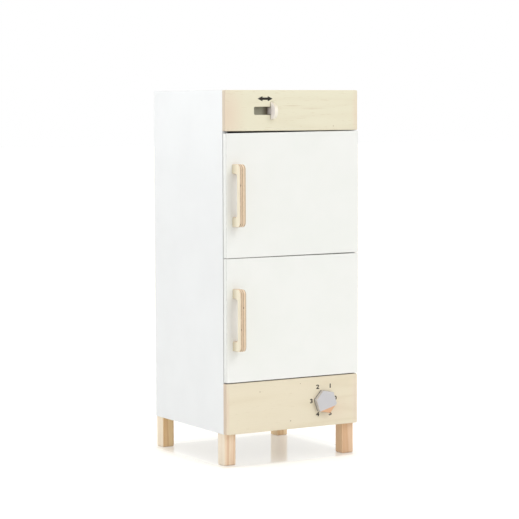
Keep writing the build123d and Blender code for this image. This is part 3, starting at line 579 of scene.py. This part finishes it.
pointer = fade(tree, calc(tree, "SUBTRACT", along, pointer_line), -pointer_soft, pointer_soft)
depth = calc(tree, "SUBTRACT", y, (low.y - high.y) / 2)
plies = use(tree, "plies", Depth=depth, First=first_ply, Layer=knob_ply, Line=knob_glue_line)
rim = mingle(tree, plies["Cross"], rim_pale, rim_dark)
rim = glaze(tree, rim, rim_glue, plies["Glue"], 0.45)
# A dark band at the rim's back, where the knob meets the fascia: painted shade.
rim = mingle(tree, fade(tree, depth, rim_contact_shade_start, rim_contact_shade_full), rim, rim_contact_shade)
grey = mingle(tree, skin["Cloud"], knob_grey, knob_grey_shade)
orange = mingle(tree, skin["Cloud"], knob_orange, knob_orange_shade)
face = fade(tree, depth, paint_end, paint_full)
feed(tree, shader["Base Color"], mingle(tree, face, rim, mingle(tree, pointer, grey, orange)))
dulled(tree, shader, skin["Rub"], 0.12, 0.4)
relief(tree, shader, skin["Height"], paint_relief, 0.5)
wear("dial_knob", material)

# Metal: zinc-plated hinges, pins, strike plates and screws, with the lines of rolling or turning

zinc, warm_zinc, dull_zinc = tone(196, 198, 200), tone(204, 200, 186), tone(168, 168, 166)
plates = [
    f"{door}_{end}_hinge_{leaf}_leaf"
    for leaf in ("frame", "door") for door in ("upper_door", "lower_door") for end in ("top", "bottom")
] + ["upper_strike_plate", "lower_strike_plate"]
screws = [
    "hinge_frame_screws", "upper_hinge_door_screws", "lower_hinge_door_screws", "upper_handle_screws",
    "lower_handle_screws", "upper_strike_screw", "lower_strike_screw", "back_panel_screws", "leg_screws",
    "rail_screws", "slider_screws", "catch_screws", "dial_screw",
]
for metal_nodes, streaks, warmth in (
    (plates, (2500.0, 2500.0, 50.0), 0.0),
    (["hinge_pins"], (600.0, 600.0, 2500.0), 0.3),
    (screws, (900.0, 900.0, 900.0), 0.5),
    (["catch_magnets"], (900.0, 900.0, 900.0), 0.2),
):
    for node in metal_nodes:
        material, tree, shader = begin(node + "_metal")
        marks = use(tree, "brushing", Stretch=streaks)
        bright = mingle(tree, warmth, zinc, warm_zinc)
        feed(tree, shader["Base Color"], mingle(tree, marks["Haze"], bright, dull_zinc))
        shader["Metallic"].default_value = 1.0
        dulled(tree, shader, marks["Lines"], 0.25, 0.22)
        relief(tree, shader, marks["Lines"], metal_relief, 0.4)
        wear(node, material)

# Catches of moulded plastic

catch_white, catch_shade, catch_arris = tone(232, 231, 226), tone(226, 225, 219), tone(242, 241, 237)
for node in ("upper_catch", "lower_catch"):
    material, tree, shader = begin(node + "_plastic")
    low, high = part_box(node)
    skin = use(tree, "lacquer", Fine=1600.0)
    edge = use(tree, "arris", Low=low, High=high, Width=0.0005)["Mask"]
    colour = mingle(tree, skin["Cloud"], catch_white, catch_shade)
    feed(tree, shader["Base Color"], glaze(tree, colour, catch_arris, edge, 0.4))
    dulled(tree, shader, skin["Rub"], 0.1, 0.32)
    relief(tree, shader, skin["Height"], thin_relief, 0.5)
    wear(node, material)

# Printing ink, thin enough for the wood's fibres to show

ink_black, ink_brown, bare_wood = tone(18, 13, 5), tone(30, 23, 11), tone(120, 100, 74)
ink_thickness = 0.00005
ink, tree, shader = begin("printed_ink")
grain = use(tree, "grain", Fibre=(60.0, 900.0, 1400.0))
colour = mingle(tree, grain["Fibres"], ink_black, ink_brown)
feed(tree, shader["Base Color"], glaze(tree, colour, bare_wood, grain["Pores"], 0.3))
dulled(tree, shader, grain["Fibres"], 0.15, 0.55)
relief(tree, shader, grain["Height"], thin_relief, 0.5)


# Numbers round the dial: an oval ring of bold figures, built by Geometry Nodes

outline_step, weld_distance = 0.00025, 0.000005


def ring_of_numbers(count):
    """A tree that sets the figures 0 to count - 1 round an oval, as one closed mesh of thin ink."""
    tree = bpy.data.node_groups.new("ring of numbers", "GeometryNodeTree")
    tree.interface.new_socket(name="Geometry", in_out="INPUT", socket_type="NodeSocketGeometry")
    tree.interface.new_socket(name="Geometry", in_out="OUTPUT", socket_type="NodeSocketGeometry")
    for label, kind in (
        ("Centre", "Vector"), ("Ring Reach", "Vector"), ("First Nudge", "Vector"), ("Figure Size", "Float"),
        ("Figure Width", "Float"), ("Boldness", "Float"), ("Ink Thickness", "Float"), ("Ink", "Material"),
    ):
        tree.interface.new_socket(name=label, in_out="INPUT", socket_type="NodeSocket" + kind)
    given = put(tree, "NodeGroupInput").outputs
    joined = put(tree, "GeometryNodeJoinGeometry")
    stretch = put(tree, "ShaderNodeCombineXYZ")
    feed(tree, stretch.inputs[0], given["Figure Width"])
    stretch.inputs[1].default_value = 1.0
    stretch.inputs[2].default_value = 1.0
    outward = put(tree, "ShaderNodeVectorMath", operation="SCALE")
    feed(tree, outward.inputs[0], put(tree, "GeometryNodeInputNormal").outputs[0])
    feed(tree, outward.inputs["Scale"], given["Boldness"])
    for number in range(count):
        figure = put(tree, "GeometryNodeStringToCurves", align_x="CENTER", align_y="MIDDLE")
        feed(tree, figure.inputs["String"], str(number))
        feed(tree, figure.inputs["Size"], given["Figure Size"])
        loose = put(tree, "GeometryNodeRealizeInstances")
        stepped = put(tree, "GeometryNodeResampleCurve", mode="LENGTH")
        bold = put(tree, "GeometryNodeSetPosition")
        flat = put(tree, "GeometryNodeFillCurve")
        feed(tree, loose.inputs["Geometry"], figure.outputs["Curve Instances"])
        feed(tree, stepped.inputs["Curve"], loose.outputs["Geometry"])
        stepped.inputs["Length"].default_value = outline_step
        feed(tree, bold.inputs["Geometry"], stepped.outputs["Curve"])
        feed(tree, bold.inputs["Offset"], outward.outputs[0])
        feed(tree, flat.inputs["Curve"], bold.outputs["Geometry"])
        turn = 2 * pi * number / count
        out = aim(tree, "MULTIPLY", given["Ring Reach"], (cos(turn), 0.0, sin(turn)))
        out = aim(tree, "ADD", given["Centre"], out)
        placed = put(tree, "GeometryNodeTransform")
        feed(tree, placed.inputs["Geometry"], flat.outputs["Mesh"])
        feed(tree, placed.inputs["Scale"], stretch.outputs[0])
        if number == 0:
            out = aim(tree, "ADD", out, given["First Nudge"])
        feed(tree, placed.inputs["Translation"], out)
        placed.inputs["Rotation"].default_value = (pi / 2, 0.0, 0.0)
        feed(tree, joined.inputs[0], placed.outputs["Geometry"])
    back = put(tree, "GeometryNodeFlipFaces")
    raised = put(tree, "GeometryNodeExtrudeMesh")
    raised.inputs["Individual"].default_value = False
    both = put(tree, "GeometryNodeJoinGeometry")
    welded = put(tree, "GeometryNodeMergeByDistance")
    realized = put(tree, "GeometryNodeRealizeInstances")
    coloured = put(tree, "GeometryNodeSetMaterial")
    feed(tree, back.inputs["Mesh"], joined.outputs[0])
    feed(tree, raised.inputs["Mesh"], joined.outputs[0])
    feed(tree, raised.inputs["Offset Scale"], given["Ink Thickness"])
    feed(tree, both.inputs[0], back.outputs[0])
    feed(tree, both.inputs[0], raised.outputs["Mesh"])
    feed(tree, welded.inputs["Geometry"], both.outputs[0])
    welded.inputs["Distance"].default_value = weld_distance
    feed(tree, realized.inputs["Geometry"], welded.outputs[0])
    feed(tree, coloured.inputs["Geometry"], realized.outputs[0])
    feed(tree, coloured.inputs["Material"], given["Ink"])
    feed(tree, put(tree, "NodeGroupOutput").inputs[0], coloured.outputs[0])
    return tree


def grown(name, tree, **values):
    """Runs a Geometry Nodes tree with its named inputs set, and keeps the plain mesh."""
    seed = bpy.data.objects.new(name + "_seed", bpy.data.meshes.new(name + "_seed"))
    bpy.context.scene.collection.objects.link(seed)
    modifier = seed.modifiers.new("build", "NODES")
    modifier.node_group = tree
    for item in tree.interface.items_tree:
        if item.in_out == "INPUT" and item.name in values:
            modifier[item.identifier] = values[item.name]
    graph = bpy.context.evaluated_depsgraph_get()
    mesh = bpy.data.meshes.new_from_object(seed.evaluated_get(graph))
    bpy.data.objects.remove(seed)
    piece = bpy.data.objects.new(name, mesh)
    bpy.context.scene.collection.objects.link(piece)
    return piece


knob_low, knob_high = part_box("dial_knob")
ring_centre = (knob_low + knob_high) / 2 + Vector((0.0, 0.0, 0.0022))
ring_centre.y = front
numbers = grown(
    "dial_numbers", ring_of_numbers(6),
    **{
        "Centre": ring_centre, "Ring Reach": (0.0324, 0.0, 0.0348), "First Nudge": (-0.0033, 0.0, 0.0022),
        "Figure Size": 0.0126, "Figure Width": 1.28, "Boldness": 0.00048,
        "Ink Thickness": ink_thickness, "Ink": ink,
    },
)
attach(numbers, "root")

# Double arrow above the slot

arrow_middle, arrow_rounding = Vector((-0.0682, front, 0.7815)), 0.0004
half_length, head_length, half_head, half_shaft = 0.0187, 0.0122, 0.0055, 0.0026
head = [(half_length, 0.0), (half_length - head_length, half_head), (half_length - head_length, half_shaft)]
outline = head + [(-x, z) for x, z in reversed(head)]
outline += [(x, -z) for x, z in reversed(outline[1:-1])]
shape = bmesh.new()
shape.faces.new([shape.verts.new((x, 0.0, z)) for x, z in outline])
bmesh.ops.bevel(
    shape, geom=list(shape.verts), offset=arrow_rounding, segments=3, affect="VERTICES", profile=0.5
)
pushed = bmesh.ops.extrude_face_region(shape, geom=list(shape.faces), use_keep_orig=True)
raised = [corner for corner in pushed["geom"] if isinstance(corner, bmesh.types.BMVert)]
bmesh.ops.translate(shape, vec=(0.0, -ink_thickness, 0.0), verts=raised)
bmesh.ops.recalc_face_normals(shape, faces=list(shape.faces))
bmesh.ops.translate(shape, vec=arrow_middle, verts=list(shape.verts))
arrow_mesh = bpy.data.meshes.new("slider_arrow")
shape.to_mesh(arrow_mesh)
shape.free()
arrow_mesh.materials.append(ink)
arrow = bpy.data.objects.new("slider_arrow", arrow_mesh)
bpy.context.scene.collection.objects.link(arrow)
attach(arrow, "root")

# Floor: white, glossy under the cabinet, seen as pure white away from the soft shadow; glowing more outside the
# footprint, as painted light

floor_reach, floor_drop = 30.0, 0.0002
floor_lit, floor_seen = (0.5, 0.495, 0.48, 1.0), (0.44, 0.435, 0.42, 1.0)
floor_glow, glow_always, glow_seen, glow_outside_footprint = (1.0, 0.965, 0.89, 1.0), 0.1, 0.23, 0.2
floor_gloss, gloss_lost = 0.1, 0.5
clear_start, clear_whole = -0.005, 0.03
far_start, far_whole, glow_far = 0.4, 1.6, 0.2
corners = ((-1, -1), (1, -1), (1, 1), (-1, 1))
floor_mesh = bpy.data.meshes.new("floor")
floor_mesh.from_pydata(
    [(x * floor_reach, y * floor_reach, -floor_drop) for x, y in corners], [], [(0, 1, 2, 3)]
)
floor = bpy.data.objects.new("floor", floor_mesh)
bpy.context.scene.collection.objects.link(floor)
material, tree, shader = begin("floor_white")
seen = shown(tree)
feed(tree, shader["Base Color"], mingle(tree, seen, floor_lit, floor_seen))
x, y, _ = xyz_of(tree, place_of(tree))
beside = calc(tree, "SUBTRACT", calc(tree, "ABSOLUTE", x), (cad_box[1][0] - cad_box[0][0]) / 2)
before = calc(tree, "SUBTRACT", front, y)
behind = calc(tree, "SUBTRACT", y, cad_box[1][1])
outside = calc(tree, "MAXIMUM", beside, calc(tree, "MAXIMUM", before, behind))
clear = fade(tree, outside, clear_start, clear_whole)
dulled(tree, shader, clear, gloss_lost, floor_gloss)
glow = put(tree, "ShaderNodeEmission")
glow.inputs["Color"].default_value = floor_glow
far = fade(tree, aim(tree, "LENGTH", place_of(tree)), far_start, far_whole, 0.0, glow_far)
# Outside the cabinet's footprint the floor glows more where seen: painted light, so the shadow ends at the
# footprint's edge.
extra = calc(tree, "ADD", calc(tree, "MULTIPLY_ADD", clear, glow_outside_footprint, glow_seen), far)
feed(tree, glow.inputs["Strength"], calc(tree, "MULTIPLY_ADD", seen, extra, glow_always))
lit = put(tree, "ShaderNodeAddShader")
feed(tree, lit.inputs[0], tree.nodes["Principled BSDF"].outputs[0])
feed(tree, lit.inputs[1], glow.outputs[0])
feed(tree, tree.nodes["Material Output"].inputs["Surface"], lit.outputs[0])
floor_mesh.materials.append(material)

# World: a white room, brighter towards its walls; plain white where it is seen or mirrored

wall_light, ceiling_light, ceiling_start = 1.05, 0.6, 0.9
world = bpy.data.worlds.new("white_room")
bpy.context.scene.world = world
world.use_nodes = True
tree = world.node_tree
room = tree.nodes["Background"]
room.inputs["Color"].default_value = (1.0, 1.0, 1.0, 1.0)
seen = shown(tree)
_, _, upward = xyz_of(tree, put(tree, "ShaderNodeTexCoord").outputs["Generated"])
light = fade(tree, upward, 0.0, ceiling_start, wall_light, ceiling_light)
feed(tree, room.inputs["Strength"], calc(tree, "MULTIPLY_ADD", seen, calc(tree, "SUBTRACT", 1.0, light), light))


def softbox(name, place, target, width, power, colour=(1.0, 1.0, 1.0)):
    """A square soft lamp, as wide as given, aimed from its place at the target."""
    lamp = bpy.data.lights.new(name, "AREA")
    lamp.shape, lamp.size, lamp.size_y = "RECTANGLE", width, width
    lamp.energy, lamp.color = power, colour
    holder = bpy.data.objects.new(name, lamp)
    bpy.context.scene.collection.objects.link(holder)
    holder.location = place
    holder.visible_camera = False
    holder.rotation_euler = (Vector(target) - Vector(place)).to_track_quat("-Z", "Y").to_euler()
    return holder


softbox("key_light", (0.9, -2.6, 2.9), (0.0, 0.0, 0.45), 1.6, 32.0, (1.0, 0.99, 0.982))
softbox("side_light", (-0.83, 0.0, 1.38), (-0.17, 0.0, 0.62), 0.8, 3.75, (0.98, 0.99, 1.0))

# A lamp that lights only the floor, so that the object's shadow on it stays soft and pale

above = softbox("floor_light", (0.0, 0.1, 3.0), (0.0, 0.1, 0.0), 1.4, 75.0)
floor_only = bpy.data.collections.new("floor_only")
floor_only.objects.link(floor)
above.light_linking.receiver_collection = floor_only

# Camera, at the photograph's place

camera_place = (-2.2488, -3.7902, 0.7658)
camera_bearing, camera_tilt, camera_roll = radians(-30.7), radians(90 - 4.396), radians(-0.172)
sensor_width, focal_length = 36.0, 138.37
camera_data = bpy.data.cameras.new("camera")
camera_data.sensor_width = sensor_width
camera_data.lens = focal_length
camera = bpy.data.objects.new("camera", camera_data)
bpy.context.scene.collection.objects.link(camera)
camera.matrix_world = (
    Matrix.Translation(camera_place) @ Matrix.Rotation(camera_bearing, 4, "Z")
    @ Matrix.Rotation(camera_tilt, 4, "X") @ Matrix.Rotation(camera_roll, 4, "Z")
)
bpy.context.scene.camera = camera
bpy.context.scene.view_settings.view_transform = "Standard"
